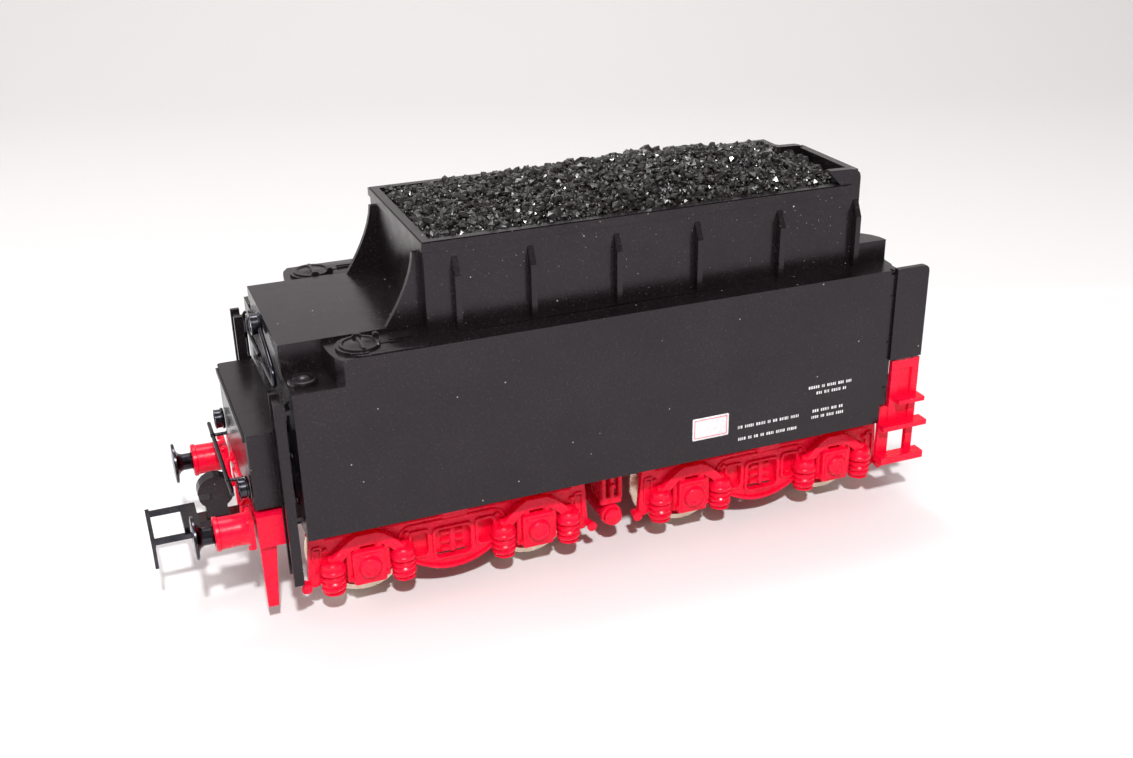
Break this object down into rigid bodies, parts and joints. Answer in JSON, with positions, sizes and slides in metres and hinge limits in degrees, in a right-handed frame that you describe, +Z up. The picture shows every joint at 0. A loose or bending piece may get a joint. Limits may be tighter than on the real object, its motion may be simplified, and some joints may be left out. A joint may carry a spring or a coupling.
{
  "type": "model railway bogie tender",
  "caption": "Four-axle bogie tender of a model steam locomotive: water tank, coal bunker with load, two swivelling bogies, sprung buffers, loop coupler and drawbar.",
  "frame": {"origin": "middle of the overall length and width, on the plane that the wheel flanges touch (the table top)", "axes": "+X towards the locomotive end (drawbar), +Y to the left side, +Z up"},
  "size_m": [0.1086, 0.0358, 0.0494],
  "materials": {
    "black_plastic": "satin, fine grain, slight dust",
    "red_plastic": "semi-gloss, moulded",
    "coal": "crushed coal, glinting facets",
    "blackened_metal": "chemically blackened, shiny where worn",
    "nickel_wheels": "nickel plated, polished tread",
    "steel_screws": "zinc plated, slotted",
    "zinc_weight": "as cast, dull"
  },
  "bodies": {
    "tender": {"tank_shell": "black_plastic", "coal_load": "coal", "underframe": "red_plastic", "ballast_weight": "zinc_weight", "rear_locker": "black_plastic", "front_bulkhead": "black_plastic", "side_sheet_left": "black_plastic", "side_sheet_right": "black_plastic", "rear_ladder_left": "black_plastic", "rear_ladder_right": "black_plastic", "coupler_pocket": "black_plastic", "reservoir_hanger": "red_plastic", "air_reservoir": "red_plastic", "buffer_beam": "red_plastic", "front_steps_left": "red_plastic", "front_steps_right": "red_plastic", "buffer_sleeve_left": "red_plastic", "buffer_sleeve_right": "red_plastic", "rail_guard_left": "red_plastic", "rail_guard_right": "red_plastic", "rear_pivot_screw": "steel_screws", "front_pivot_screw": "steel_screws", "body_screw_left": "steel_screws", "body_screw_right": "steel_screws", "drawbar_screw": "steel_screws", "corner_handrail_left": "blackened_metal", "corner_handrail_right": "blackened_metal", "deck_handrail_left": "blackened_metal", "deck_handrail_right": "blackened_metal", "grab_bar": "blackened_metal", "lamp_top": "blackened_metal", "lamp_left": "blackened_metal", "lamp_right": "blackened_metal"},
    "rear_bogie": {"rear_bogie_bolster": "red_plastic", "rear_bogie_frame_left": "red_plastic", "rear_bogie_frame_right": "red_plastic"},
    "wheelset_1": {"axle_shaft_1": "nickel_wheels", "wheel_left_1": "nickel_wheels", "wheel_right_1": "nickel_wheels"},
    "wheelset_2": {"axle_shaft_2": "nickel_wheels", "wheel_left_2": "nickel_wheels", "wheel_right_2": "nickel_wheels"},
    "front_bogie": {"front_bogie_bolster": "red_plastic", "front_bogie_frame_left": "red_plastic", "front_bogie_frame_right": "red_plastic"},
    "wheelset_3": {"axle_shaft_3": "nickel_wheels", "wheel_left_3": "nickel_wheels", "wheel_right_3": "nickel_wheels"},
    "wheelset_4": {"axle_shaft_4": "nickel_wheels", "wheel_left_4": "nickel_wheels", "wheel_right_4": "nickel_wheels"},
    "buffer_plunger_left": {"buffer_left": "blackened_metal"},
    "buffer_plunger_right": {"buffer_right": "blackened_metal"},
    "coupler": {"coupler_body": "black_plastic"},
    "coupler_bow": {"coupler_loop": "blackened_metal"},
    "drawbar_link": {"drawbar": "blackened_metal"}
  },
  "joints": [
    {"name": "rear_bogie_swivel", "type": "hinge", "parent": "tender", "child": "rear_bogie", "pos_m": [-0.0191, 0, 0.0126], "axis": [0, 0, 1], "range_deg": [-4.5, 4.5]},
    {"name": "wheelset_1_roll", "type": "hinge", "parent": "rear_bogie", "child": "wheelset_1", "pos_m": [-0.03002, 0, 0.00685], "axis": [0, 1, 0], "continuous": true},
    {"name": "wheelset_2_roll", "type": "hinge", "parent": "rear_bogie", "child": "wheelset_2", "pos_m": [-0.00818, 0, 0.00685], "axis": [0, 1, 0], "continuous": true},
    {"name": "front_bogie_swivel", "type": "hinge", "parent": "tender", "child": "front_bogie", "pos_m": [0.0246, 0, 0.0126], "axis": [0, 0, 1], "range_deg": [-4.5, 4.5]},
    {"name": "wheelset_3_roll", "type": "hinge", "parent": "front_bogie", "child": "wheelset_3", "pos_m": [0.01368, 0, 0.00685], "axis": [0, 1, 0], "continuous": true},
    {"name": "wheelset_4_roll", "type": "hinge", "parent": "front_bogie", "child": "wheelset_4", "pos_m": [0.03552, 0, 0.00685], "axis": [0, 1, 0], "continuous": true},
    {"name": "buffer_left_travel", "type": "slide", "parent": "tender", "child": "buffer_plunger_left", "axis": [1, 0, 0], "range_m": [0, 0.0012], "stiffness_N_per_m": 200},
    {"name": "buffer_right_travel", "type": "slide", "parent": "tender", "child": "buffer_plunger_right", "axis": [1, 0, 0], "range_m": [0, 0.0012], "stiffness_N_per_m": 200},
    {"name": "coupler_swing", "type": "hinge", "parent": "tender", "child": "coupler", "pos_m": [-0.0376, 0, 0.0098], "axis": [0, 0, 1], "range_deg": [-6, 6]},
    {"name": "coupler_bow_lift", "type": "hinge", "parent": "coupler", "child": "coupler_bow", "pos_m": [-0.0493, 0, 0.0101], "axis": [0, 1, 0], "range_deg": [0, 25]},
    {"name": "drawbar_swing", "type": "hinge", "parent": "tender", "child": "drawbar_link", "pos_m": [0.0475, 0, 0.0102], "axis": [0, 0, 1], "range_deg": [-20, 20]}
  ]
}
